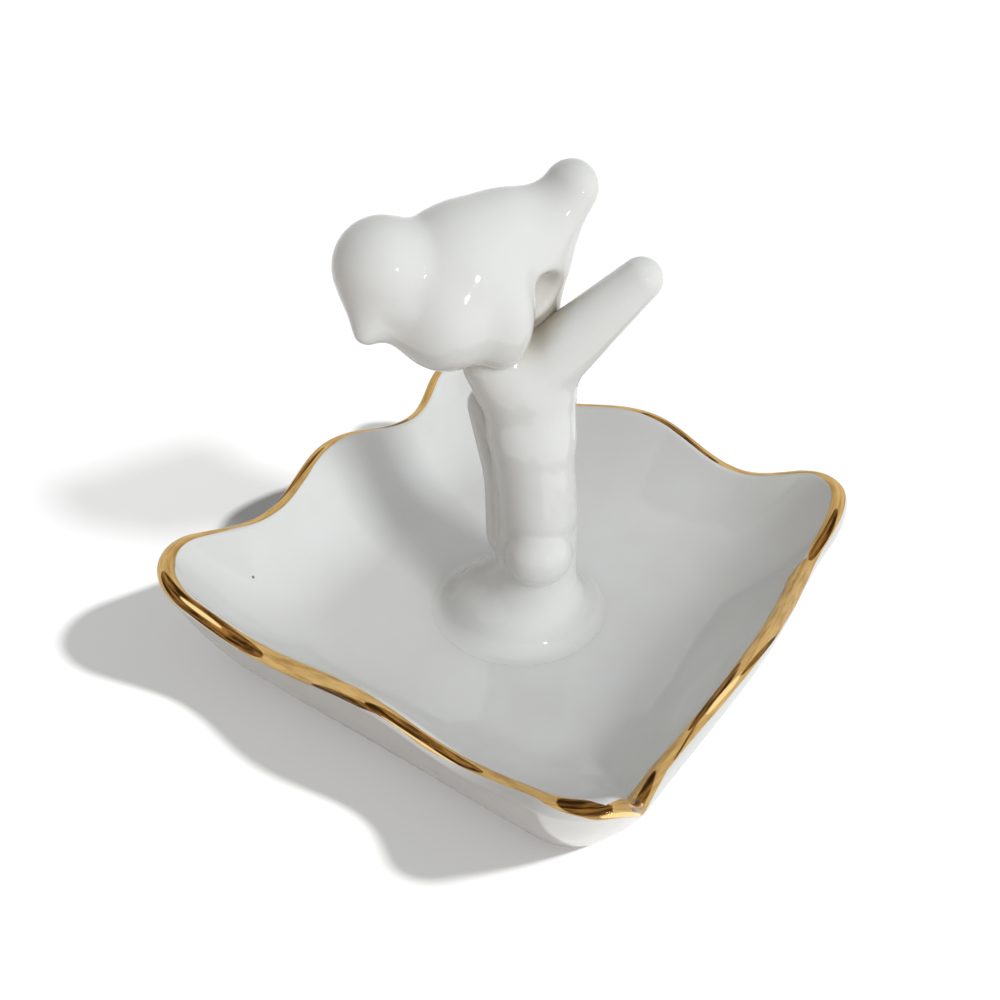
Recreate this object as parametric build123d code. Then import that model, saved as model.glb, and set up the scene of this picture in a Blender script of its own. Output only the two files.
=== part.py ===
from build123d import *
import math
import os

# Ring dish in glazed ceramic: a square dish with a wavy gilt lip, a branch in it and a bird on the branch.
# Millimetres, +Z up. The origin is the middle of the flat foot, and X and Y run along the dish's sides.
# The corners are called left, back, right and front, as they lie in the photograph.

# Rim of the dish: the line along the top of the lip
rim_half = 50.0
rim_corner = 12.0
rim_height = 21.0
wave_rise = 5.0
side_bulge = 1.8
lean_share = 0.32
bulge_shares = (0.05, 0.55, 1.0, -0.65)
# Each side starts at a corner: places of corner, dip, crest and dip along it, and their rises
place_shares = (
    (0.0, 0.30, 0.51, 0.80),
    (0.0, 0.23, 0.52, 0.76),
    (0.0, 0.16, 0.55, 0.89),
    (0.0, 0.28, 0.46, 0.75),
)
rise_shares = (
    (1.0, -0.52, 0.44, -0.94),
    (0.64, -0.52, 0.42, -0.54),
    (0.84, -0.92, 0.34, -0.92),
    (1.0, -0.52, 0.26, -0.58),
)

# Wall, lip, floor and foot of the dish
lip_thickness = 3.5
gilt_thickness = 0.3
gilt_gap = 0.05
gilt_edge_angle = 20.0
gilt_steps = 6
floor_thickness = 4.5
floor_half = 30.0
floor_corner = 9.0
knee_half = 41.0
knee_corner = 11.0
foot_half = 41.6
heel_half = 43.4
foot_corner = 9.0
heel_corner = 9.5
heel_share = 0.1
wall_belly = 0.7
points_per_side = 16
heel_ring_shares = (0.0, 0.35, 0.7)
wall_ring_shares = (heel_share, 0.4, 0.7)
inner_ring_shares = (0.25, 0.5, 0.75, 1.0)

# Branch: it leans in its own plane, which is turned from the dish's X side.
# Its places are measured across that plane, away from the viewer, and up.
# Those of the front twig start from the middle of the root, at the foot's level, and the others from the
# middle of the trunk's top.
branch_turn = 34.5
root_across = 2.4
root_away = -4.3
root_radius = 15.2
root_shift = (-1.8, 2.8)
root_height = 11.5
trunk_radius = 7.3
trunk_swell = 0.9
trunk_height = 54.0
trunk_lean = 1.5
trunk_bend = 1.9
trunk_drift = 1.6
crown_rise = 5.5
crown_across_radius = 7.4
crown_away_radius = 6.6
# Levels of the root and of the stem, and height and size of those of the crown
root_level_shares = (0.0, 0.2, 0.5, 1.0)
stem_level_shares = (0.4, 0.75, 1.0)
crown_level_shares = ((0.45, 0.96), (0.8, 0.7))

fork_radius = 6.8
fork_tip_radius = 3.7
fork_start = (-1.2, 0.3, 5.8)
fork_tip = (17.6, 1.7, 24.6)

perch_radius = 6.6
perch_tip_radius = 5.6
perch_start = (-2.6, 0.1, 2.0)
perch_tip = (-7.0, -0.5, 10.5)

front_twig_radius = 6.6
front_twig_tip_radius = 6.4
front_twig_start = (1.5, -2.2, 24.0)
front_twig_tip = (1.5, -5.1, 25.6)

rear_twig_radius = 5.0
rear_twig_tip_radius = 3.4
rear_twig_start = (-3.4, 4.1, -28.0)
rear_twig_tip = (-8.5, 6.1, -2.8)

# Bird: its own axes run forward from tail to breast and up, from the middle of its body
bird_turn = 29.0
body_centre = (-8.4, 1.1, 24.7)
body_height = 28.0
body_width = 25.5
breast_reach = 17.0
breast_droop = 2.0
breast_fullness_share = 0.8
rump_reach = 15.6
rump_lift = 4.8
neck_forward = 5.5
neck_rise = 1.2
neck_radius = 10.6
neck_end_radius = 6.8
head_radius = 8.0
head_centre = (-24.2, -6.3, 30.9)
beak_tip = (-27.5, -12.3, 21.6)
beak_tip_radius = 1.5
throat_forward = 8.5
throat_rise = -1.6
throat_radius = 9.4
throat_tip_radius = 1.2
haunch_back = 9.5
haunch_top = -1.0
haunch_bottom = -9.0
haunch_radius = 5.8
haunch_end_radius = 5.4
tail_root_back = 8.0
tail_root_rise = 2.2
tail_end_back = 19.1
tail_end_rise = 16.5
tail_root_width = 13.0
tail_root_thickness = 9.0
tail_width = 10.8
tail_thickness = 8.4
# Levels of the body and the round end of the tail, in degrees round an oval, and of the tail's root
body_level_angles = (-78, -55, -30, 0, 28, 52, 74)
tail_level_angles = (30, 55, 76)
tail_level_shares = (0.0, 0.35, 0.72)


def square_point(turn, half, corner):
    """Point of a rounded square, and its outward direction, at a number of sides on from the left corner."""
    side = int(turn) % 4
    along = Vector(0, 1, 0).rotate(Axis.Z, -90 * side)
    out = along.rotate(Axis.Z, 90)
    straight = 2 * (half - corner)
    arc = corner * math.pi / 2
    travel = (turn - int(turn)) * (straight + arc) - arc / 2
    bend = (min(travel, 0) + max(travel - straight, 0)) / corner
    normal = out * math.cos(bend) + along * math.sin(bend)
    middle = along * (min(max(travel, 0), straight) - straight / 2) + out * (half - corner)
    return middle + normal * corner, normal


def rim_rise(turn):
    """Height of the lip over its mean, eased from each crest or dip to the next."""
    side = int(turn) % 4
    place = turn - int(turn)
    stops = place_shares[side] + (1.0,)
    rises = rise_shares[side] + (rise_shares[(side + 1) % 4][0],)
    index = max(i for i in range(len(stops) - 1) if stops[i] <= place)
    way = (place - stops[index]) / (stops[index + 1] - stops[index])
    eased = (1 - math.cos(math.pi * way)) / 2
    return wave_rise * (rises[index] + (rises[index + 1] - rises[index]) * eased)


def rim_point(turn):
    """Point on top of the lip and its outward direction: the wall leans out where the lip is high."""
    point, normal = square_point(turn, rim_half, rim_corner)
    rise = rim_rise(turn)
    bulge = side_bulge * bulge_shares[int(turn) % 4] * math.sin(math.pi * (turn - int(turn))) ** 2
    return point + normal * (lean_share * rise + bulge) + Vector(0, 0, rim_height + rise), normal


def lip_point(turn, angle, radius):
    """Point of the half-round lip: 0 degrees is outside, 90 on top and 180 inside."""
    top, normal = rim_point(turn)
    middle = top - Vector(0, 0, lip_thickness / 2)
    lift = Vector(0, 0, math.sin(math.radians(angle)))
    return middle + (normal * math.cos(math.radians(angle)) + lift) * radius


def quadratic(start, bend, end, way):
    """Point on a parabola that leaves the start towards the bend and comes to the end from it."""
    return start * (1 - way) ** 2 + bend * (2 * way * (1 - way)) + end * way**2


def outer_point(turn, way):
    """Point of the outer wall, from the heel at 0 to the lip at 1."""
    heel, normal = square_point(turn, heel_half, heel_corner)
    lip = lip_point(turn, 0, lip_thickness / 2)
    return heel + (lip - heel) * way + normal * (wall_belly * math.sin(math.pi * way))


def heel_point(turn, way):
    """Point of the rounded edge between the foot and the outer wall."""
    foot, _ = square_point(turn, foot_half, foot_corner)
    heel, _ = square_point(turn, heel_half, heel_corner)
    return quadratic(foot, heel, outer_point(turn, heel_share), way)


def inner_point(turn, way):
    """Point of the inner wall, from the lip at 0 to the edge of the flat floor at 1."""
    lip = lip_point(turn, 180, lip_thickness / 2)
    knee, _ = square_point(turn, knee_half, knee_corner)
    edge, _ = square_point(turn, floor_half, floor_corner)
    floor = Vector(0, 0, floor_thickness)
    return quadratic(lip, knee + floor, edge + floor, way)


def ring(point_at):
    """Closed smooth wire round the dish through the points of one level."""
    steps = range(4 * points_per_side)
    points = [point_at(step / points_per_side) for step in steps]
    return Wire([Edge.make_spline(points, periodic=True)])


def gilt_depth(angle):
    """Depth of the seat of the gilding, which is deepest on top of the lip and runs out at both sides."""
    return gilt_thickness * math.sin(math.radians(angle))


def gilt_angles():
    """Angles of the levels of the gilding, from its outer edge to its inner one."""
    run = 180 - 2 * gilt_edge_angle
    return [gilt_edge_angle + run * step / gilt_steps for step in range(gilt_steps + 1)]


def lip_ring(angle, depth):
    """Level of the half-round lip, at a depth under its surface."""
    return ring(lambda turn: lip_point(turn, angle, lip_thickness / 2 - depth))


def make_dish():
    """Dish with a flat foot and floor, a wavy wall and a seat for the gilding over its lip."""
    heel_rings = [ring(lambda turn: heel_point(turn, way)) for way in heel_ring_shares]
    wall_rings = [ring(lambda turn: outer_point(turn, way)) for way in wall_ring_shares]
    inner_rings = [ring(lambda turn: inner_point(turn, way)) for way in inner_ring_shares]
    lip_rings = [lip_ring(angle, gilt_depth(angle)) for angle in [0] + gilt_angles() + [180]]
    heel = Shell.make_loft(heel_rings + wall_rings[:1])
    outside = Shell.make_loft(wall_rings + lip_rings[:1])
    seat = Shell.make_loft(lip_rings)
    inside = Shell.make_loft(lip_rings[-1:] + inner_rings)
    foot = Face(heel_rings[0])
    floor = Face(inner_rings[-1])
    sides = heel.faces() + outside.faces() + seat.faces() + inside.faces()
    return Solid(Shell(sides + [foot, floor]))


def make_gilding():
    """Thin coat over the lip, thickest on top, that ends just short of both edges of its seat."""
    under = [lip_ring(angle, gilt_depth(angle) - gilt_gap) for angle in gilt_angles()]
    over = [lip_ring(angle, 0) for angle in gilt_angles()]
    faces = Shell.make_loft(under).faces() + Shell.make_loft(over).faces()
    for end in (0, -1):
        faces += Shell.make_loft([under[end], over[end]], ruled=True).faces()
    return Solid(Shell(faces))


def tapered_roll(start, end, start_radius, end_radius):
    """Roll of clay with round ends, thick at its start and thin at its end."""
    way = end - start
    slope = math.asin((start_radius - end_radius) / way.length)
    start_side = (start_radius * math.cos(slope), start_radius * math.sin(slope))
    end_side = (end_radius * math.cos(slope), way.length + end_radius * math.sin(slope))
    middle = math.degrees(slope)
    profile = [
        CenterArc((0, 0), start_radius, -90, 90 + middle),
        Line(start_side, end_side),
        CenterArc((0, way.length), end_radius, middle, 90 - middle),
        Line((0, way.length + end_radius), (0, -start_radius)),
    ]
    half = Plane.XZ * make_face(profile)
    return Plane(origin=start, z_dir=way) * revolve(half, Axis.Z)


def from_root(place):
    """Place in the branch's plane of a point that is given from the middle of the root."""
    return Vector(root_across, root_away, 0) + Vector(*place)


def from_top(place):
    """Place in the branch's plane of a point that is given from the middle of the trunk's top."""
    return Vector(root_across, root_away + trunk_drift, trunk_height) + Vector(*place)


def make_trunk():
    """Trunk with its flared root on the floor, drawn in at the crown where the limbs cover it."""
    sections = []

    def add_section(height, across, away, across_radius, away_radius):
        middle = Plane(origin=(across, away, height))
        sections.append(middle * Ellipse(across_radius, away_radius))

    stem_radius = trunk_radius + trunk_swell
    for way in root_level_shares:
        spread = (1 + math.cos(math.pi * way)) / 2
        radius = stem_radius + (root_radius - stem_radius) * spread
        across = root_across + trunk_lean + (root_shift[0] - trunk_lean) * spread
        away = root_away + root_shift[1] * spread
        add_section(floor_thickness + root_height * way, across, away, radius, radius)
    rise = trunk_height - floor_thickness - root_height
    for way in stem_level_shares:
        height = floor_thickness + root_height + rise * way
        across = root_across + trunk_lean - trunk_bend * way**2
        radius = trunk_radius + trunk_swell * (1 - way) ** 2
        add_section(height, across, root_away + trunk_drift * way, radius, radius)
    crown_away = root_away + trunk_drift
    for way, size in crown_level_shares:
        height = trunk_height + crown_rise * way
        add_section(height, root_across, crown_away, crown_across_radius * size, crown_away_radius * size)
    return loft(sections)


def bird_plane(forward, rise, tilt):
    """Plane across the bird at a place along it, tilted up by a number of degrees."""
    along = Vector(-1, 0, 0).rotate(Axis.Z, bird_turn)
    side = Vector(0, 1, 0).rotate(Axis.Z, bird_turn)
    middle = from_top(body_centre) + along * forward + Vector(0, 0, rise)
    facing = (along * -1).rotate(Axis((0, 0, 0), side), -tilt)
    return Plane(origin=middle, x_dir=side, z_dir=facing)


def bird_section(forward, rise, tilt, width, thickness):
    """Oval across the bird."""
    return bird_plane(forward, rise, tilt) * Ellipse(width / 2, thickness / 2)


def make_body():
    """Plump body, fuller and lower at the breast than at the rump."""
    sections = []
    for angle in body_level_angles:
        sine = math.sin(math.radians(angle))
        size = math.cos(math.radians(angle))
        forward = (breast_reach if angle > 0 else rump_reach) * sine
        rise = rump_lift * min(sine, 0) ** 2 - breast_droop * max(sine, 0) ** 2
        size = size ** (breast_fullness_share if angle > 0 else 1)
        sections.append(bird_section(forward, rise, 0, body_width * size, body_height * size))
    rump = Vertex(*bird_plane(-rump_reach, rump_lift, 0).origin)
    breast = Vertex(*bird_plane(breast_reach, -breast_droop, 0).origin)
    return loft([rump] + sections + [breast])


def make_tail():
    """Raised tail: a flat paddle with a round end, drawn out of the rump."""
    run = tail_end_back - tail_root_back
    climb = tail_end_rise - tail_root_rise
    tilt = math.degrees(math.atan2(climb, run))
    paddle = tail_level_shares[-1]
    sections = []
    for way in tail_level_shares:
        spread = (1 - way / paddle) ** 2
        width = tail_width + (tail_root_width - tail_width) * spread
        thickness = tail_thickness + (tail_root_thickness - tail_thickness) * spread
        sections.append((way, width, thickness))
    for angle in tail_level_angles:
        way = paddle + (1 - paddle) * math.sin(math.radians(angle))
        size = math.cos(math.radians(angle))
        sections.append((way, tail_width * size, tail_thickness * size))
    ovals = []
    for way, width, thickness in sections:
        back = tail_root_back + run * way
        ovals.append(bird_section(-back, tail_root_rise + climb * way, tilt, width, thickness))
    tip = Vertex(*bird_plane(-tail_end_back, tail_end_rise, 0).origin)
    return loft(ovals + [tip])


def make_bird():
    """Plump bird with a raised tail, a haunch, a full neck and a round head with a blunt beak."""
    neck_start = bird_plane(neck_forward, neck_rise, 0).origin
    neck = tapered_roll(neck_start, from_top(head_centre), neck_radius, neck_end_radius)
    head = tapered_roll(from_top(head_centre), from_top(beak_tip), head_radius, beak_tip_radius)
    throat_start = bird_plane(throat_forward, throat_rise, 0).origin
    throat = tapered_roll(throat_start, from_top(beak_tip), throat_radius, throat_tip_radius)
    haunch_start = bird_plane(-haunch_back, haunch_top, 0).origin
    haunch_end = bird_plane(-haunch_back, haunch_bottom, 0).origin
    haunch = tapered_roll(haunch_start, haunch_end, haunch_radius, haunch_end_radius)
    return make_body() + make_tail() + haunch + neck + head + throat


def place(piece):
    """Turn a piece of the branch or the bird from the branch's plane into the dish's axes."""
    return piece.rotate(Axis.Z, branch_turn)


dish = make_dish()
gilt_rim = make_gilding()
bird = make_bird()
trunk = make_trunk()
perch_roll = tapered_roll(from_top(perch_start), from_top(perch_tip), perch_radius, perch_tip_radius)
fork_roll = tapered_roll(from_top(fork_start), from_top(fork_tip), fork_radius, fork_tip_radius)
rear_start = from_top(rear_twig_start)
rear_roll = tapered_roll(rear_start, from_top(rear_twig_tip), rear_twig_radius, rear_twig_tip_radius)
front_start = from_root(front_twig_start)
front_roll = tapered_roll(front_start, from_root(front_twig_tip), front_twig_radius, front_twig_tip_radius)

# Each limb is cut to the surface that it is luted on
perch_limb = perch_roll - trunk - bird
fork_limb = fork_roll - perch_roll - trunk - bird
rear_twig = rear_roll - perch_roll - trunk
front_twig = front_roll - trunk

nodes = {
    "dish": dish,
    "gilt_rim": gilt_rim,
    "trunk": place(trunk),
    "fork_limb": place(fork_limb),
    "perch_limb": place(perch_limb),
    "front_twig": place(front_twig),
    "rear_twig": place(rear_twig),
    "bird": place(bird),
}

os.makedirs("parts", exist_ok=True)
for name, piece in nodes.items():
    export_step(piece, f"parts/{name}.step")
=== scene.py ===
import bpy
import math
import numpy as np
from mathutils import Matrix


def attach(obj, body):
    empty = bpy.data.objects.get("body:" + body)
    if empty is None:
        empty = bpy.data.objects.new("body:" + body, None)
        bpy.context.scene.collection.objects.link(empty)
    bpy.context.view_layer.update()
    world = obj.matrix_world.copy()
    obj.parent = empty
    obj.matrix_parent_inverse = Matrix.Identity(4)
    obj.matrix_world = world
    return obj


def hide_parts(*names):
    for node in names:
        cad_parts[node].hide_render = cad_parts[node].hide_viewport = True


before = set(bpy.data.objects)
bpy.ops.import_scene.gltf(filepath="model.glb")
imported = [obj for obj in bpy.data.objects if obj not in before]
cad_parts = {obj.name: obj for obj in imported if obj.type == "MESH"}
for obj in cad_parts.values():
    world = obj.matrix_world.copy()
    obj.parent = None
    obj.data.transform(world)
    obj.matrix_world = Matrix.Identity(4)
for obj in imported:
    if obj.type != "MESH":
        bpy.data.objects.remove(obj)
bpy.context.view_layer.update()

# Ring dish in glazed ceramic: a square dish with a painted gold lip, a branch standing in it and a bird on
# the branch. The shapes are worked out in millimetres, and become metres as each mesh is made.
metres_per_mm = 0.001

# Rim of the dish: the line along the top of the lip
rim_half = 50.0
rim_corner = 12.0
rim_height = 21.0
wave_rise = 5.0
side_bulge = 1.8
lean_share = 0.32
# The four sides run left to back, back to right, right to front and front to left. Each bulges out at its
# middle, or in where its share is negative. Four places along it are its first corner, a dip, a crest and a
# dip, with a rise of the lip at each.
sides = 4
bulge_shares = (0.05, 0.55, 1.0, -0.65)
place_shares = (
    (0.0, 0.30, 0.51, 0.80),
    (0.0, 0.23, 0.52, 0.76),
    (0.0, 0.16, 0.55, 0.89),
    (0.0, 0.28, 0.46, 0.75),
)
rise_shares = (
    (1.0, -0.52, 0.44, -0.94),
    (0.64, -0.52, 0.42, -0.54),
    (0.84, -0.92, 0.34, -0.92),
    (1.0, -0.52, 0.26, -0.58),
)

# Wall, lip, floor and foot of the dish
lip_thickness = 3.5
floor_thickness = 4.5
floor_half = 30.0
floor_corner = 9.0
knee_half = 41.0
knee_corner = 11.0
foot_half = 41.6
heel_half = 43.4
foot_corner = 9.0
heel_corner = 9.5
wall_belly = 0.7
# Shares of the outer wall's height: where its round heel ends, and from where the gold on it takes its slope
heel_share = 0.1
upper_wall_share = 0.9
# Size of the smallest rings, in the middle of the foot and the floor, as a share of the largest
middle_share = 0.02
columns_per_side = 150
heel_rows = 8
outer_rows = 26
lip_rows = 22
inner_rows = 44
floor_rows = 30

# Gold lustre: numbers of sides on from the left corner, and how far it was brushed there from the top of the
# lip, outward and inward
gold_reaches = (
    (0.0, 3.0, 2.2),
    (0.1, 2.0, 1.0),
    (0.2, 1.5, 0.6),
    (0.3, 1.5, 0.9),
    (0.42, 2.2, 1.5),
    (0.55, 1.8, 0.8),
    (0.7, 1.5, 0.4),
    (0.9, 1.6, 0.9),
    (1.0, 2.0, 1.2),
    (1.2, 1.6, 0.7),
    (1.4, 1.6, 0.4),
    (1.6, 1.8, 1.2),
    (1.8, 1.6, 0.4),
    (1.93, 1.6, 0.5),
    (2.0, 1.8, 1.6),
    (2.08, 1.2, 2.8),
    (2.15, 1.6, 0.6),
    (2.21, 2.3, 3.2),
    (2.3, 2.6, 2.2),
    (2.4, 1.9, 2.6),
    (2.6, 1.5, 2.5),
    (2.74, 0.9, 2.2),
    (2.82, 0.8, 3.9),
    (2.9, 2.4, 3.6),
    (2.96, 3.1, 0.8),
    (3.0, 3.3, -0.4),
    (3.03, 2.2, 1.3),
    (3.1, 0.6, 2.3),
    (3.19, 0.7, 1.5),
    (3.27, 1.1, 0.9),
    (3.35, 2.0, 0.5),
    (3.44, 2.1, 0.2),
    (3.48, 2.8, 0.4),
    (3.64, 3.5, 0.7),
    (3.78, 2.8, 0.8),
    (3.9, 2.4, 1.0),
    (4.0, 3.0, 2.2),
)
# Painted reflections in it: marks of painted dark reflection and painted highlight, where the polished gold
# shows the room as a mirror. Start and end by sides, place across the lip at each, and half width
# Painted dark reflection: polished gold coloured dark where it would mirror the dim room
painted_dark_reflections = (
    (0.30, 0.50, -1.2, 0.4, 0.5),
    (0.62, 0.78, -0.6, 0.0, 0.4),
    (1.50, 1.72, 0.5, 0.5, 0.5),
    (2.05, 2.16, 0.3, -0.3, 0.9),
    (2.46, 2.60, -1.5, -0.6, 0.4),
    (2.57, 2.74, 0.9, 0.6, 0.7),
    (2.70, 2.80, 0.4, -0.5, 0.16),
    (2.83, 2.96, 0.9, -1.5, 0.8),
    (2.99, 3.07, -1.2, 0.0, 1.3),
    (3.22, 3.47, -0.3, -1.3, 0.8),
    (3.40, 3.60, -1.7, -2.6, 0.6),
    (3.73, 3.98, -1.3, -0.6, 1.5),
)
# Painted highlights: bright streaks where the polished gold would mirror a window
painted_highlights = (
    (2.60, 2.70, -0.4, -0.2, 0.4),
    (2.90, 2.96, -0.9, -0.6, 0.4),
    (2.93, 3.01, -2.3, -2.2, 0.5),
    (3.27, 3.43, -1.2, -1.8, 0.16),
    (3.83, 3.92, -0.8, -0.6, 0.35),
)
# Softness of their edges, and how far the marks and the gold's borders wander
mark_edge = 0.14
mark_wander = 0.25
border_wander = 0.3
# Wandering of a hand: numbers of waves round the dish, and the number at which a wave is half as high
wander_waves = (5, 9, 14, 23, 31, 47)
wander_fade = 12
wander_size = 3
outer_wander_start = 1.0
inner_wander_start = 2.3
mark_wander_start = 0.6
# Coat of gold: its thickness over the lip, the share of it that the borders are sunk into the glaze, and how
# soon its shoulders are full, where 1 is slow and 0 at once
band_coat = 0.07
band_sink_share = 0.6
band_shoulder = 0.35
band_rows = 40
band_columns_per_side = 300

# Branch: its places are measured across its own plane, away from the viewer, and up
branch_turn = 34.5
# Trunk: the middle and radius of its stem, which leans out over the root and bends back towards its top
stem_across = 3.9
stem_away = -2.8
stem_radius = 7.5
stem_swell = 0.8
stem_swell_run = 10.0
stem_drift = -1.0
stem_drift_run = 14.0
stem_bend_share = 0.0026
stem_bend_height = 22.0
stem_top = 47.0
root_across = -3.5
root_away = 2.2
root_run = 5.0
# Middle and half sizes of the swollen foot of the trunk
pad_middle = (0.6, -1.4, 3.4)
pad_halves = (14.6, 14.0, 11.0)
pad_fillet = 6.0
# Rolls of clay: start, end, and radius at each
fork_roll = ((1.2, -2.4, 59.8), (20.0, -1.0, 78.6), 6.8, 3.75)
web_roll = ((5.0, -2.6, 48.0), (5.6, -2.4, 56.5), 4.4, 4.4)
perch_roll = ((1.8, -2.6, 51.0), (-4.6, -3.2, 65.0), 6.0, 5.8)
front_roll = ((2.8, -3.0, 55.0), (4.2, -5.8, 32.4), 5.0, 6.3)
low_rear_roll = ((-0.8, 1.2, 22.0), (-2.0, 1.8, 36.0), 5.3, 4.4)
rear_roll = ((-2.0, 1.8, 36.0), (-6.1, 3.4, 51.2), 4.4, 3.4)
knot_roll = ((3.9, -6.5, 24.0), (3.9, -9.4, 25.6), 6.6, 6.4)
limbs_fillet = 4.0
crown_fillet = 4.5
web_fillet = 4.0
front_fillet = 2.0
rear_fillet = 0.7
knot_fillet = 1.0
floor_fillet = 4.0
root_sink = 0.012
root_edge = 0.006

# Bird: its own places run ahead, beside towards the viewer, and up, from the middle of its body
bird_turn = 29.0
bird_middle = (-6.0, -1.6, 78.7)
# Middle and half sizes of its ovals
body_oval = ((4.0, 0.0, 0.3), (12.5, 11.0, 13.7))
rump_oval = ((-6.0, -1.6, 2.2), (10.4, 8.0, 11.7))
breast_oval = ((9.4, 3.0, -2.6), (8.0, 9.0, 9.0))
cheek_oval = ((15.0, 3.6, 1.8), (5.4, 3.8, 3.6))
flank_oval = ((0.6, 5.6, -3.2), (5.8, 6.9, 10.0))
hollow_oval = ((-7.6, 8.6, -1.6), (4.8, 4.8, 4.4))
# Its rolls: start, end, and radius at each
haunch_roll = ((-9.2, -1.8, -1.0), (-9.8, -1.6, -9.0), 5.7, 5.4)
neck_roll = ((5.0, 0.0, 1.2), (17.0, -1.0, 5.0), 10.4, 6.6)
head_roll = ((17.3, -1.2, 6.1), (22.6, 2.2, -2.4), 8.0, 1.6)
throat_roll = ((9.0, 0.5, -0.6), (21.0, 2.0, -2.4), 8.4, 1.6)
# Tail: start and end, half width and half thickness at each, and reach of its round end
tail_start = (-9.0, 0.0, 3.6)
tail_end = (-16.1, 0.0, 12.6)
tail_start_halves = (6.0, 5.4)
tail_end_halves = (5.4, 4.1)
tail_reach = 4.9
rump_fillet = 6.0
haunch_fillet = 3.0
tail_fillet = 4.0
neck_fillet = 3.0
head_fillet = 2.5
throat_fillet = 3.0
breast_fillet = 3.0
cheek_fillet = 1.2
flank_fillet = 2.2
hollow_fillet = 1.2
side_fillet = 1.0

# Boxes that hold the branch and the bird, in the branch's plane, and the size of the cells they are cut into
box_margin = 1.0
branch_low = (-18.0, -19.5, floor_thickness - box_margin)
branch_high = (26.0, 17.0, 84.0)
bird_low = (-36.0, -26.0, 60.0)
bird_high = (20.0, 20.0, 104.0)
voxel = 0.45
# Drawing of the mesh onto the surface: number of rounds, step of the slope, and least slope squared
surface_rounds = 3
surface_step = 0.02
surface_least_slope = 0.05
smallest = 1e-9


def square_point(turn, half, corner):
    """Points of a rounded square and their outward directions, by numbers of sides from the left corner."""
    side = np.floor(turn).astype(int) % sides
    along = np.array([(0, 1, 0), (1, 0, 0), (0, -1, 0), (-1, 0, 0)], float)[side]
    out = np.array([(-1, 0, 0), (0, 1, 0), (1, 0, 0), (0, -1, 0)], float)[side]
    straight = 2 * (half - corner)
    arc = corner * math.pi / 2
    travel = (turn - np.floor(turn)) * (straight + arc) - arc / 2
    bend = (np.minimum(travel, 0) + np.maximum(travel - straight, 0)) / corner
    normal = out * np.cos(bend)[:, None] + along * np.sin(bend)[:, None]
    middle = along * (np.clip(travel, 0, straight) - straight / 2)[:, None] + out * (half - corner)
    return middle + normal * corner, normal


def eased(turn, stops_by_side, values_by_side):
    """Values along the four sides, eased from each stop to the next."""
    turn = turn % sides
    stops = [side + stop for side in range(sides) for stop in stops_by_side[side]] + [float(sides)]
    values = [value for side in range(sides) for value in values_by_side[side]]
    values.append(values[0])
    index = np.clip(np.searchsorted(stops, turn, side="right") - 1, 0, len(stops) - 2)
    start, end = np.array(stops)[index], np.array(stops)[index + 1]
    way = (1 - np.cos(math.pi * (turn - start) / (end - start))) / 2
    return np.array(values)[index] * (1 - way) + np.array(values)[index + 1] * way


def rim_point(turn):
    """Points on top of the lip and their outward directions: the wall leans out where the lip is high."""
    point, normal = square_point(turn, rim_half, rim_corner)
    rise = wave_rise * eased(turn, place_shares, rise_shares)
    side = np.floor(turn).astype(int) % sides
    bulge = side_bulge * np.array(bulge_shares)[side] * np.sin(math.pi * (turn % 1)) ** 2
    point = point + normal * (lean_share * rise + bulge)[:, None]
    point[:, 2] = rim_height + rise
    return point, normal


def lip_point(turn, angle, lift=0.0):
    """Points of the half-round lip: 0 degrees is outside, 90 on top and 180 inside."""
    top, normal = rim_point(turn)
    angle = np.radians(angle) * np.ones_like(turn)
    radius = lip_thickness / 2 + lift
    point = top + normal * (radius * np.cos(angle))[:, None]
    point[:, 2] += radius * np.sin(angle) - lip_thickness / 2
    return point


def outer_point(turn, way):
    """Points of the outer wall, from the heel at 0 to the lip at 1."""
    heel, normal = square_point(turn, heel_half, heel_corner)
    lip = lip_point(turn, 0)
    way = (way * np.ones_like(turn))[:, None]
    return heel + (lip - heel) * way + normal * wall_belly * np.sin(math.pi * way)


def heel_point(turn, way):
    """Points of the rounded edge between the foot and the outer wall."""
    foot, _ = square_point(turn, foot_half, foot_corner)
    heel, _ = square_point(turn, heel_half, heel_corner)
    end = outer_point(turn, heel_share)
    return foot * (1 - way) ** 2 + heel * (2 * way * (1 - way)) + end * way**2


def lip_end(turn):
    """Angle at which the lip runs on smoothly into the inner wall."""
    top, normal = rim_point(turn)
    knee, _ = square_point(turn, knee_half, knee_corner)
    inward = ((top - knee) * normal).sum(axis=1)
    drop = top[:, 2] - lip_thickness / 2 - floor_thickness
    reach = np.hypot(inward, drop)
    return 180 + np.degrees(np.arctan2(drop, inward) - np.arccos(lip_thickness / 2 / reach))


def inner_point(turn, way):
    """Points of the inner wall, from the lip at 0 to the edge of the flat floor at 1."""
    lip = lip_point(turn, lip_end(turn))
    knee, _ = square_point(turn, knee_half, knee_corner)
    edge, _ = square_point(turn, floor_half, floor_corner)
    knee[:, 2] = edge[:, 2] = floor_thickness
    way = (way * np.ones_like(turn))[:, None]
    return lip * (1 - way) ** 2 + knee * (2 * way * (1 - way)) + edge * way**2


def add_to_scene(name, data):
    thing = bpy.data.objects.new(name, data)
    bpy.context.scene.collection.objects.link(thing)
    return thing


def make_object(name, points, faces, nodes):
    """Smooth piece that stands for some CAD nodes."""
    mesh = bpy.data.meshes.new(name)
    mesh.from_pydata((np.asarray(points) * metres_per_mm).tolist(), [], [tuple(face) for face in faces])
    mesh.validate()
    mesh.shade_smooth()
    piece = add_to_scene(name, mesh)
    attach(piece, "root")
    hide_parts(*nodes)
    return piece


def ring_faces(rows, columns):
    """Quads between rings of points, each ring closed."""
    row, column = np.meshgrid(np.arange(rows - 1), np.arange(columns), indexing="ij")
    row, column = row.ravel(), column.ravel()
    after = (column + 1) % columns
    return np.stack([row * columns + column, row * columns + after, (row + 1) * columns + after,
                     (row + 1) * columns + column], axis=1)


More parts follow.
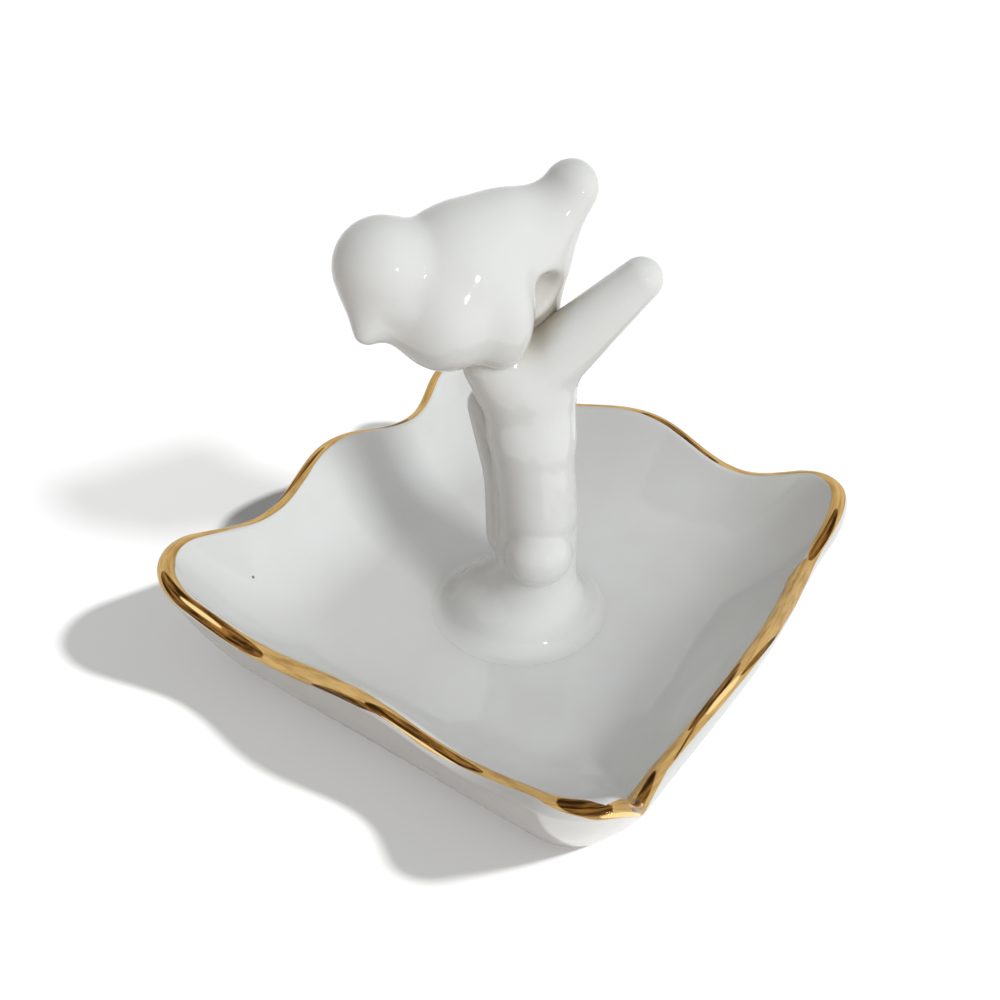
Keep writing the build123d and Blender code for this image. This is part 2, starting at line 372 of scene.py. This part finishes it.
def make_dish():
    """Dish: rings from the middle of its foot, up the wall, over the lip and to the middle of its floor."""
    columns = sides * columns_per_side
    turn = np.arange(columns) / columns_per_side
    rings = []
    foot, _ = square_point(turn, foot_half, foot_corner)
    for way in np.linspace(middle_share, 1, floor_rows)[:-1]:
        rings.append(foot * way)
    for way in np.linspace(0, 1, heel_rows)[:-1]:
        rings.append(heel_point(turn, way))
    for way in np.linspace(heel_share, 1, outer_rows)[:-1]:
        rings.append(outer_point(turn, way))
    for way in np.linspace(0, 1, lip_rows)[:-1]:
        rings.append(lip_point(turn, lip_end(turn) * way))
    for way in np.linspace(0, 1, inner_rows):
        rings.append(inner_point(turn, way))
    edge = rings[-1]
    for way in np.linspace(1, middle_share, floor_rows)[1:]:
        rings.append(edge * (way, way, 1))
    faces = [tuple(face) for face in ring_faces(len(rings), columns)]
    last = (len(rings) - 1) * columns
    faces.append(tuple(range(columns - 1, -1, -1)))
    faces.append(tuple(range(last, last + columns)))
    return make_object("glazed_dish", np.concatenate(rings), faces, ["dish"])


def section_point(turn, place, lift):
    """Points at places across the lip from its top: outward is negative, and lift stands off the glaze."""
    radius = lip_thickness / 2
    end = lip_end(turn)
    angle = np.clip(90 + np.degrees(place / radius), 0, end)
    point = lip_point(turn, angle, lift)
    outward = np.maximum(-place - radius * math.pi / 2, 0)
    wall = lip_point(turn, 0) - outer_point(turn, upper_wall_share)
    point -= wall / np.linalg.norm(wall, axis=1)[:, None] * outward[:, None]
    inward = np.maximum(place - radius * np.radians(end - 90), 0)
    first_step = 0.01
    stride = np.linalg.norm(inner_point(turn, first_step) - inner_point(turn, 0), axis=1) / first_step
    return point + inner_point(turn, inward / stride) - inner_point(turn, 0)


def wander(turn, start):
    """Uneven line of a hand along the lip, between about -1 and 1."""
    swings = [
        np.sin(math.pi / 2 * turn * wave + start * wave) / (1 + wave / wander_fade) for wave in wander_waves
    ]
    return sum(swings) / wander_size


def mark_levels(turn, place, marks):
    """How fully painted reflection marks cover places on the band: each mark tapers to a point at both ends.
    """
    covered = np.zeros_like(place)
    for start, end, start_place, end_place, half in marks:
        way = np.clip((turn - start) / (end - start), 0, 1)
        offset = np.abs(place - start_place - (end_place - start_place) * way)
        level = np.clip((half * 2 * np.sqrt(way * (1 - way)) - offset) / mark_edge + 0.5, 0, 1)
        covered = np.maximum(covered, np.where((way > 0) & (way < 1), level, 0))
    return covered


def gilding_attribute(band, name, kind, field, values):
    """Gives each point of the gold a value that its material reads."""
    attribute = band.data.attributes.new(name, kind, "POINT")
    attribute.data.foreach_set(field, values)


def make_gilding():
    """Painted gold: a thin coat over the lip with wandering borders, sunk at both into the glaze."""
    columns = sides * band_columns_per_side
    turn = np.arange(columns) / band_columns_per_side
    stops, outward, inward = np.array(gold_reaches).T
    outer = border_wander * wander(turn, outer_wander_start) - np.interp(turn, stops, outward)
    inner = border_wander * wander(turn, inner_wander_start) + np.interp(turn, stops, inward)
    rings, places = [], []
    for way in np.linspace(0, 1, band_rows):
        rise = (1 + band_sink_share) * math.sin(math.pi * way) ** band_shoulder
        lift = band_coat * (rise - band_sink_share)
        places.append(outer + (inner - outer) * way)
        rings.append(section_point(turn, places[-1], lift))
    faces = ring_faces(len(rings), columns)
    band = make_object("gold_band", np.concatenate(rings), faces, ["gilt_rim"])
    turns = np.tile(turn, band_rows)
    places = np.concatenate(places)
    marked = places + mark_wander * wander(turns, mark_wander_start)
    # Marks of painted dark reflection and painted highlight, as values that the gold's material reads
    for name, marks in (("painted_dark_reflections", painted_dark_reflections), ("painted_highlights", painted_highlights)):
        gilding_attribute(band, name, "FLOAT", "value", mark_levels(turns, marked, marks))
    angle = turns * math.pi / 2
    along = np.stack([np.cos(angle) * rim_half, np.sin(angle) * rim_half, places], axis=1)
    gilding_attribute(band, "along_lip", "FLOAT_VECTOR", "vector", along.ravel())
    return band


def roll(points, start, end, start_radius, end_radius):
    """Distance from a tapered roll with round ends."""
    start, end = np.asarray(start, float), np.asarray(end, float)
    length = np.linalg.norm(end - start)
    rise = (points - start) @ ((end - start) / length)
    reach = np.sqrt(np.maximum(((points - start) ** 2).sum(-1) - rise**2, 0))
    slope = (start_radius - end_radius) / length
    side = math.sqrt(1 - slope**2)
    level = side * rise - slope * reach
    at_start = np.hypot(reach, rise) - start_radius
    at_end = np.hypot(reach, rise - length) - end_radius
    between = side * reach + slope * rise - start_radius
    return np.where(level < 0, at_start, np.where(level > side * length, at_end, between))


def oval(points, middle, halves):
    """Distance from an oval, near enough close to its surface. Its half sizes may differ between points."""
    local = points - np.asarray(middle)
    size = np.linalg.norm(local / halves, axis=-1)
    steep = np.linalg.norm(local / np.square(halves), axis=-1)
    return size * (size - 1) / np.maximum(steep, smallest)


def paddle(points, start, end, wide_axis, start_halves, end_halves, end_reach):
    """Distance from a flat roll with a round end, near enough close to its surface."""
    start, end = np.asarray(start, float), np.asarray(end, float)
    length = np.linalg.norm(end - start)
    line = (end - start) / length
    thick_axis = np.cross(line, wide_axis)
    rise = (points - start) @ line
    way = np.clip(rise / length, 0, 1)
    wide = start_halves[0] + (end_halves[0] - start_halves[0]) * way
    thick = start_halves[1] + (end_halves[1] - start_halves[1]) * way
    offset = points - start
    local = np.stack([offset @ wide_axis, offset @ thick_axis, rise - length * way], axis=-1)
    halves = np.stack([wide, thick, np.full_like(wide, end_reach)], axis=-1)
    return oval(local, (0, 0, 0), halves)


def melt(first, second, fillet):
    """Joins two distances, with a fillet of glaze and clay in the crease."""
    near = np.maximum(fillet - np.abs(first - second), 0) / fillet
    return np.minimum(first, second) - near * near * fillet / 4


def stem_shape(points):
    """Distance from the stem of the trunk, a round column with a round top that is hidden in the limbs."""
    height = points[..., 2]
    above = np.maximum(height - floor_thickness, 0)
    spread = np.exp(-above / root_run)
    bend = stem_bend_share * np.maximum(height - stem_bend_height, 0) ** 2
    across = stem_across + root_across * spread - bend
    away = stem_away + stem_drift * np.exp(-above / stem_drift_run) + root_away * spread
    radius = stem_radius + stem_swell * np.exp(-np.maximum(above - stem_swell_run, 0) / stem_swell_run)
    reach = np.hypot(points[..., 0] - across, points[..., 1] - away)
    return np.hypot(reach, np.maximum(height - stem_top, 0)) - radius


def branch_shape(points):
    """Distance from the whole branch, with its root run out on the floor of the dish."""
    shape = melt(stem_shape(points), oval(points, pad_middle, pad_halves), pad_fillet)
    limbs = melt(roll(points, *fork_roll), roll(points, *perch_roll), limbs_fillet)
    shape = melt(shape, limbs, crown_fillet)
    shape = melt(shape, roll(points, *web_roll), web_fillet)
    shape = melt(shape, roll(points, *front_roll), front_fillet)
    rear = melt(roll(points, *rear_roll), roll(points, *low_rear_roll), rear_fillet)
    shape = melt(shape, rear, rear_fillet)
    shape = melt(shape, roll(points, *knot_roll), knot_fillet)
    return melt(shape, points[..., 2] - floor_thickness + root_sink, floor_fillet)


def bird_shape(points):
    """Distance from the bird.

    Rump, haunch and tail make its rear, and neck, head, breast and flank its front.
    """
    turn = math.radians(bird_turn)
    ahead = np.array((-math.cos(turn), -math.sin(turn), 0))
    beside = np.array((math.sin(turn), -math.cos(turn), 0))
    local = (points - np.asarray(bird_middle)) @ np.stack([ahead, beside, (0, 0, 1)], axis=1)
    body = oval(local, *body_oval)
    rear = melt(body, oval(local, *rump_oval), rump_fillet)
    rear = melt(rear, roll(local, *haunch_roll), haunch_fillet)
    side = np.array((0, 1, 0))
    tail = paddle(local, tail_start, tail_end, side, tail_start_halves, tail_end_halves, tail_reach)
    rear = melt(rear, tail, tail_fillet)
    rear = -melt(-rear, oval(local, *hollow_oval), hollow_fillet)
    front = melt(body, roll(local, *neck_roll), neck_fillet)
    front = melt(front, roll(local, *head_roll), head_fillet)
    front = melt(front, roll(local, *throat_roll), throat_fillet)
    front = melt(front, oval(local, *breast_oval), breast_fillet)
    front = melt(front, oval(local, *cheek_oval), cheek_fillet)
    front = melt(front, oval(local, *flank_oval), flank_fillet)
    return melt(front, rear, side_fillet)


def drawn_onto(shape, points):
    """Points that are near the surface of a shape, moved onto it."""
    for _ in range(surface_rounds):
        slope = np.stack([
            (shape(points + surface_step * axis) - shape(points - surface_step * axis)) / (2 * surface_step)
            for axis in np.eye(3)
        ], axis=1)
        steepness = np.maximum((slope**2).sum(1), surface_least_slope)
        points = points - slope * (np.clip(shape(points), -voxel, voxel) / steepness)[:, None]
    return points


def surface_points(shape, low, high):
    """Mesh of the surface of a shape in a box: one point in each cell that it crosses, drawn onto it."""
    low = np.asarray(low, float)
    counts = np.ceil((np.asarray(high) - low) / voxel).astype(int) + 1
    grid = [low[axis] + voxel * np.arange(counts[axis]) for axis in range(3)]
    points = np.stack(np.meshgrid(*grid, indexing="ij"), axis=-1)
    field = np.stack([shape(slab) for slab in points])
    sums = np.zeros(tuple(counts - 1) + (3,))
    hits = np.zeros(counts - 1)
    crossings = []
    for axis in range(3):
        first = np.take(field, range(counts[axis] - 1), axis)
        second = np.take(field, range(1, counts[axis]), axis)
        crossed = np.argwhere((first < 0) != (second < 0))
        others = [other for other in range(3) if other != axis]
        for other in others:
            crossed = crossed[(crossed[:, other] > 0) & (crossed[:, other] < counts[other] - 1)]
        start, end = first[tuple(crossed.T)], second[tuple(crossed.T)]
        where = crossed * voxel + low
        where[:, axis] += voxel * start / (start - end)
        corners = []
        for step in ((0, 0), (1, 0), (1, 1), (0, 1)):
            cell = crossed.copy()
            cell[:, others[0]] -= step[0]
            cell[:, others[1]] -= step[1]
            np.add.at(sums, tuple(cell.T), where)
            np.add.at(hits, tuple(cell.T), 1)
            corners.append(cell)
        crossings.append((corners, (start < 0) == (axis != 1)))
    used = hits > 0
    cells = np.full(counts - 1, -1)
    cells[used] = np.arange(used.sum())
    found = sums[used] / hits[used][:, None]
    quads = []
    for corners, outward in crossings:
        quad = np.stack([cells[tuple(cell.T)] for cell in corners], axis=1)
        quads.append(np.where(outward[:, None], quad, quad[:, ::-1]))
    return drawn_onto(shape, found), np.concatenate(quads)


def in_dish_axes(points):
    """Turns points of the branch's plane into the dish's axes."""
    turn = math.radians(branch_turn)
    across, away, up = points.T
    return np.stack([
        across * math.cos(turn) - away * math.sin(turn), across * math.sin(turn) + away * math.cos(turn), up
    ], axis=1)


def make_branch():
    """Branch, cut off just where its root has sunk into the floor of the dish."""
    points, faces = surface_points(branch_shape, branch_low, branch_high)
    kept = points[:, 2] > floor_thickness - root_edge
    faces = faces[kept[faces].all(axis=1)]
    used = np.unique(faces)
    number = np.full(len(points), -1)
    number[used] = np.arange(len(used))
    points, faces = points[used], number[faces]
    nodes = ["trunk", "fork_limb", "perch_limb", "front_twig", "rear_twig"]
    return make_object("branch_form", in_dish_axes(points), faces, nodes)


def make_bird():
    """Bird, as one flowing surface."""
    points, faces = surface_points(bird_shape, bird_low, bird_high)
    return make_object("bird_form", in_dish_axes(points), faces, ["bird"])


# White glaze: scales of patterns per metre, and heights and reaches in metres
patch_colours = ((0.80, 0.79, 0.765, 1), (0.83, 0.835, 0.83, 1))
patch_levels = (0.3, 0.7)
patch_scale = 45.0
patch_detail = 3.0
patch_roughness = 0.55
# Specks: one may lie in each cell of a pattern, up to a share of the cell in size, where chance is over the
# rarity
speck_colour = (0.25, 0.24, 0.21, 1)
speck_scale = 70.0
speck_size_scale = 160.0
speck_share = 0.045
speck_rarity = 0.93
# Creases darker and warmer: painted shade, partly glaze pooled there. How far round a place is looked at,
# and how open the place is where the painted shade is full and where it is gone
pool_and_shade_colour = (0.50, 0.46, 0.39, 1)
crease_shade_reach = 0.007
crease_shade_samples = 6
crease_shade_open_shares = (0.35, 0.9)
# Surface of the glaze
swell_scale = 90.0
swell_detail = 2.0
swell_strength = 0.35
swell_height = 0.0004
glaze_roughness = (0.04, 0.1)
glaze_index = 1.5
glaze_coat = 0.2
glaze_coat_roughness = 0.03
glaze_scatter = 0.12
glaze_scatter_radius = (1.0, 0.85, 0.7)
glaze_scatter_scale = 0.0015
# Bare clay of the flat foot, up to these heights
clay_colour = (0.66, 0.60, 0.51, 1)
clay_roughness = 0.7
clay_heights = (0.0002, 0.0007)

# Gold lustre: satin, with painted dark reflections and painted highlights in the polished marks
satin_colours = ((0.42, 0.24, 0.065, 1), (0.66, 0.44, 0.17, 1))
satin_levels = (0.32, 0.6)
# Dark colours of the painted reflection in the polished marks
dark_reflection_colours = ((0.035, 0.014, 0.004, 1), (0.36, 0.17, 0.04, 1))
dark_reflection_levels = (0.42, 0.68)
# Colour of the painted highlights
highlight_colour = (0.98, 0.72, 0.32, 1)
satin_roughness = 0.36
mirror_roughness = 0.1
# Its patterns along the lip: scales per millimetre, times these shares on both axes round it and across it
streak_shares = (0.12, 0.12, 1.0)
streak_scale = 1.6
streak_detail = 3.0
streak_roughness = 0.6
scratch_shares = (0.5, 0.5, 6.0)
scratch_scale = 2.0
scratch_height = 0.0002
satin_scratch_strength = 0.6
mirror_scratch_strength = 0.1
# Pits, with a scale per metre
pit_scale = 900.0
pit_height = 0.0001
pit_strength = 0.2
fine_detail = 4.0
fine_roughness = 0.7


class Nodes:
    """Empty node tree, with short ways of adding to it. A socket takes a value, or another node's output."""

    def __init__(self, tree):
        self.tree = tree
        tree.nodes.clear()

    def fill(self, socket, value):
        if isinstance(value, bpy.types.NodeSocket):
            self.tree.links.new(value, socket)
        else:
            socket.default_value = value

    def add(self, kind, numbered=None, **named):
        """Adds a node: its sockets are filled by number, and its settings and other sockets by name."""
        node = self.tree.nodes.new(kind)
        for key, value in named.items():
            if hasattr(node, key):
                setattr(node, key, value)
            else:
                self.fill(node.inputs[key.replace("_", " ")], value)
        for number, value in (numbered or {}).items():
            self.fill(node.inputs[number], value)
        return node

    def maths(self, operation, first, second):
        return self.add("ShaderNodeMath", {0: first, 1: second}, operation=operation).outputs[0]

    def mix_numbers(self, share, first, second):
        return self.add("ShaderNodeMix", {0: share, 2: first, 3: second}).outputs[0]

    def mix_colours(self, share, first, second):
        return self.add("ShaderNodeMix", {0: share, 6: first, 7: second}, data_type="RGBA").outputs[2]

    def spread(self, level, low=0.0, high=1.0, from_low=0.0, from_high=1.0):
        """Number that goes from low to high as a level goes from from_low to from_high."""
        limits = {"From_Min": from_low, "From_Max": from_high, "To_Min": low, "To_Max": high}
        return self.add("ShaderNodeMapRange", Value=level, **limits).outputs[0]

    def ramp(self, level, stops, colours):
        """Colour that goes from one to another as a level goes from one stop to the next."""
        node = self.add("ShaderNodeValToRGB", Fac=level)
        for number, (stop, colour) in enumerate(zip(stops, colours)):
            node.color_ramp.elements[number].position = stop
            node.color_ramp.elements[number].color = colour
        return node.outputs["Color"]

    def noise(self, place, scale, detail, roughness=0.5):
        node = self.add("ShaderNodeTexNoise", Vector=place, Scale=scale, Detail=detail, Roughness=roughness)
        return node.outputs["Fac"]

    def scaled(self, place, scales):
        return self.add("ShaderNodeMapping", Vector=place, Scale=scales).outputs[0]

    def attribute(self, name, output):
        return self.add("ShaderNodeAttribute", attribute_name=name).outputs[output]

    def seen(self):
        """1 for rays of the camera, also through a reflection or glass, and 0 for rays that bring light."""
        rays = self.add("ShaderNodeLightPath").outputs
        straight = self.maths("MAXIMUM", rays["Is Camera Ray"], rays["Is Glossy Ray"])
        return self.maths("MAXIMUM", straight, rays["Is Transmission Ray"])

    def finish(self, kind, shader):
        self.add(kind, Surface=shader.outputs[0])


def new_material(name):
    """Empty node material, and its nodes."""
    material = bpy.data.materials.new(name)
    material.use_nodes = True
    return material, Nodes(material.node_tree)


def add_specks(nodes, place, tint):
    """Colour with a few dark specks in it, each in a cell of its own."""
    cells = nodes.add("ShaderNodeTexVoronoi", Vector=place, Scale=speck_scale)
    reach = nodes.maths("MULTIPLY", speck_share, nodes.noise(place, speck_size_scale, 0.0))
    near = nodes.maths("LESS_THAN", cells.outputs["Distance"], reach)
    chance = nodes.add("ShaderNodeSeparateColor", Color=cells.outputs["Color"]).outputs["Red"]
    rare = nodes.maths("GREATER_THAN", chance, speck_rarity)
    return nodes.mix_colours(nodes.maths("MULTIPLY", near, rare), tint, speck_colour)


def make_glaze():
    """White tin glaze: glossy, a little uneven, warm and cool in patches, with rare specks.

    Creases are darker and warmer, painted shade that partly stands for glaze pooled there; the flat foot is
    bare clay.
    """
    material, nodes = new_material("white_glaze_coat")
    place = nodes.add("ShaderNodeTexCoord").outputs["Object"]
    patches = nodes.noise(place, patch_scale, patch_detail, patch_roughness)
    tint = add_specks(nodes, place, nodes.ramp(patches, patch_levels, patch_colours))
    # Painted shade: a darker, warmer colour where a place is closed in, in creases and hollows, partly for
    # pooled glaze
    openness = nodes.add("ShaderNodeAmbientOcclusion", samples=crease_shade_samples, Distance=crease_shade_reach)
    clear = nodes.spread(openness.outputs["AO"], 0.0, 1.0, *crease_shade_open_shares)
    tint = nodes.mix_colours(clear, pool_and_shade_colour, tint)
    height = nodes.add("ShaderNodeSeparateXYZ", Vector=place).outputs["Z"]
    glazed = nodes.spread(height, 0.0, 1.0, *clay_heights)
    sheen = nodes.spread(patches, *glaze_roughness)
    swell = nodes.noise(place, swell_scale, swell_detail)
    bump = nodes.add("ShaderNodeBump", Height=swell, Strength=swell_strength, Distance=swell_height)
    shader = nodes.add(
        "ShaderNodeBsdfPrincipled",
        Base_Color=nodes.mix_colours(glazed, clay_colour, tint),
        Roughness=nodes.mix_numbers(glazed, clay_roughness, sheen),
        IOR=glaze_index,
        Normal=bump.outputs[0],
        Coat_Weight=nodes.maths("MULTIPLY", glazed, glaze_coat),
        Coat_Roughness=glaze_coat_roughness,
        Subsurface_Weight=glaze_scatter,
        Subsurface_Radius=glaze_scatter_radius,
        Subsurface_Scale=glaze_scatter_scale,
    )
    nodes.finish("ShaderNodeOutputMaterial", shader)
    return material


def make_gold():
    """Gold lustre: satin with fine scratches along the lip, and painted dark reflections and painted
    highlights in its marks.
    """
    material, nodes = new_material("gold_lustre_coat")
    place = nodes.add("ShaderNodeTexCoord").outputs["Object"]
    along = nodes.attribute("along_lip", "Vector")
    # Where the painted dark reflections and painted highlights lie on the gold
    in_dark_reflection = nodes.attribute("painted_dark_reflections", "Fac")
    in_highlight = nodes.attribute("painted_highlights", "Fac")
    streak_lines = nodes.scaled(along, streak_shares)
    streaks = nodes.noise(streak_lines, streak_scale, streak_detail, streak_roughness)
    satin = nodes.ramp(streaks, satin_levels, satin_colours)
    reflection_colour = nodes.ramp(streaks, dark_reflection_levels, dark_reflection_colours)
    # Satin, with painted dark reflection and painted highlight laid over it
    colour = nodes.mix_colours(in_highlight, nodes.mix_colours(in_dark_reflection, satin, reflection_colour), highlight_colour)
    polish = nodes.maths("MAXIMUM", in_dark_reflection, in_highlight)
    scratch_lines = nodes.scaled(along, scratch_shares)
    scratches = nodes.noise(scratch_lines, scratch_scale, fine_detail, fine_roughness)
    pits = nodes.noise(place, pit_scale, fine_detail, fine_roughness)
    pitted = nodes.add("ShaderNodeBump", Height=pits, Strength=pit_strength, Distance=pit_height)
    scratched = nodes.add(
        "ShaderNodeBump",
        Height=scratches,
        Strength=nodes.spread(polish, satin_scratch_strength, mirror_scratch_strength),
        Distance=scratch_height,
        Normal=pitted.outputs[0],
    )
    shader = nodes.add(
        "ShaderNodeBsdfPrincipled",
        Base_Color=colour,
        Metallic=1.0,
        Roughness=nodes.spread(polish, satin_roughness, mirror_roughness),
        Normal=scratched.outputs[0],
    )
    nodes.finish("ShaderNodeOutputMaterial", shader)
    return material


# Camera, at the photograph's place and angle: its place in metres, and its lens and sensor in millimetres
camera_place = (0.0917, -0.1395, 0.1633)
camera_yaw = 34.47
camera_pitch = 38.39
camera_lens = 39.6
camera_sensor = 36.0
camera_near = 0.01

# Window that lights the object: a tall pane, its direction round from -Y and height over the horizon in
# degrees, its distance, width and length in metres, and its power
window_azimuth = 76.0
window_height = 31.0
window_distance = 1.5
window_width = 0.30
window_length = 0.90
window_power = 12.2
window_colour = (0.96, 1.0, 1.01)

# Other lamps: direction round from -Y, height over the horizon, strength and apparent width.
# The glint is only seen in the glaze. The other two light the floor alone: the photograph shows two shadows
# there, a pale one of the bird and a deeper one of the dish, that don't belong to the light on the object.
lamps = {
    "lamp_glint": (70.0, 18.0, 0.35, 3.5),
    "lamp_bird_shadow": (93.0, 42.0, 2.0, 6.0),
    "lamp_dish_shadow": (113.0, 43.5, 3.7, 4.0),
}

# Paper under the dish: half size in metres, colour, and the darker colour by which it lights the undersides
paper_half = 3.0
paper_colour = (0.65, 0.65, 0.65, 1)
paper_bounce_colour = (0.32, 0.30, 0.28, 1)

# Soft light of the room: warm and dim from low on the left, cool and bright from high on the right
room_dim = (0.09, 0.06, 0.03, 1)
room_bright = (0.50, 0.515, 0.52, 1)
room_azimuth = 115.0
room_height = 38.0
backdrop_colour = (1, 1, 1, 1)


def aimed(azimuth, height):
    """Turn of a lamp or camera that looks from a direction round from -Y, at a height over the horizon."""
    return math.radians(90 - height), 0, math.radians(azimuth)


def away_from_origin(azimuth, height, distance=1.0):
    """Place in a direction round from -Y, at a height over the horizon."""
    azimuth, height = math.radians(azimuth), math.radians(height)
    level = distance * math.cos(height)
    return level * math.sin(azimuth), -level * math.cos(azimuth), distance * math.sin(height)


def make_camera():
    """Camera that sees the object as the photograph does."""
    data = bpy.data.cameras.new("camera")
    data.lens = camera_lens
    data.sensor_width = camera_sensor
    data.clip_start = camera_near
    camera = add_to_scene("camera", data)
    camera.location = camera_place
    camera.rotation_euler = aimed(camera_yaw, camera_pitch)
    bpy.context.scene.camera = camera


def make_window():
    """Tall soft lamp that faces the object and isn't seen in the glaze."""
    data = bpy.data.lights.new("lamp_window", "AREA")
    data.shape = "RECTANGLE"
    data.size = window_width
    data.size_y = window_length
    data.energy = window_power
    data.color = window_colour
    window = add_to_scene("lamp_window", data)
    window.location = away_from_origin(window_azimuth, window_height, window_distance)
    window.rotation_euler = aimed(window_azimuth, window_height)
    window.visible_glossy = False
    return window


def make_lamps():
    """The glint in the glaze, and the lamps that throw the two shadows on the floor."""
    made = {}
    for name, (azimuth, height, strength, width) in lamps.items():
        data = bpy.data.lights.new(name, "SUN")
        data.energy = strength
        data.angle = math.radians(width)
        made[name] = add_to_scene(name, data)
        made[name].rotation_euler = aimed(azimuth, height)
    made["lamp_glint"].visible_diffuse = False
    return made


def make_floor():
    """Plain sheet of paper under the dish."""
    half = paper_half
    corners = [(-half, -half, 0), (half, -half, 0), (half, half, 0), (-half, half, 0)]
    mesh = bpy.data.meshes.new("floor")
    mesh.from_pydata(corners, [], [(0, 1, 2, 3)])
    sheet = add_to_scene("floor", mesh)
    material, nodes = new_material("floor_paper")
    paper = nodes.mix_colours(nodes.seen(), paper_bounce_colour, paper_colour)
    nodes.finish("ShaderNodeOutputMaterial", nodes.add("ShaderNodeBsdfDiffuse", Color=paper))
    mesh.materials.append(material)
    return sheet


def light_only(lamp, lit, shading):
    """Keeps a lamp to some objects, and its shadows to those of others."""
    for slot_name, members in (("receiver_collection", lit), ("blocker_collection", shading)):
        group = bpy.data.collections.new(lamp.name + "_" + slot_name)
        for member in members:
            group.objects.link(member)
        setattr(lamp.light_linking, slot_name, group)


def make_room():
    """Soft light of the room, which is plain white to the camera and in reflections."""
    world = bpy.data.worlds.new("studio")
    bpy.context.scene.world = world
    world.use_nodes = True
    nodes = Nodes(world.node_tree)
    direction = nodes.add("ShaderNodeTexCoord").outputs["Generated"]
    brightest = away_from_origin(room_azimuth, room_height)
    side = nodes.add("ShaderNodeVectorMath", {0: direction, 1: brightest}, operation="DOT_PRODUCT")
    room = nodes.mix_colours(nodes.spread(side.outputs["Value"], from_low=-1.0), room_dim, room_bright)
    sky = nodes.add("ShaderNodeBackground", Color=nodes.mix_colours(nodes.seen(), room, backdrop_colour))
    nodes.finish("ShaderNodeOutputWorld", sky)


glaze = make_glaze()
gold = make_gold()
dish = make_dish()
band = make_gilding()
branch = make_branch()
bird = make_bird()
pieces = [dish, band, branch, bird]
for piece in pieces:
    piece.data.materials.append(gold if piece == band else glaze)
make_camera()
floor = make_floor()
studio_lamps = make_lamps()
light_only(make_window(), pieces, pieces)
light_only(studio_lamps["lamp_glint"], pieces, pieces)
light_only(studio_lamps["lamp_bird_shadow"], [floor], [branch, bird])
light_only(studio_lamps["lamp_dish_shadow"], [floor], [dish, band])
make_room()
bpy.context.scene.view_settings.view_transform = "Standard"
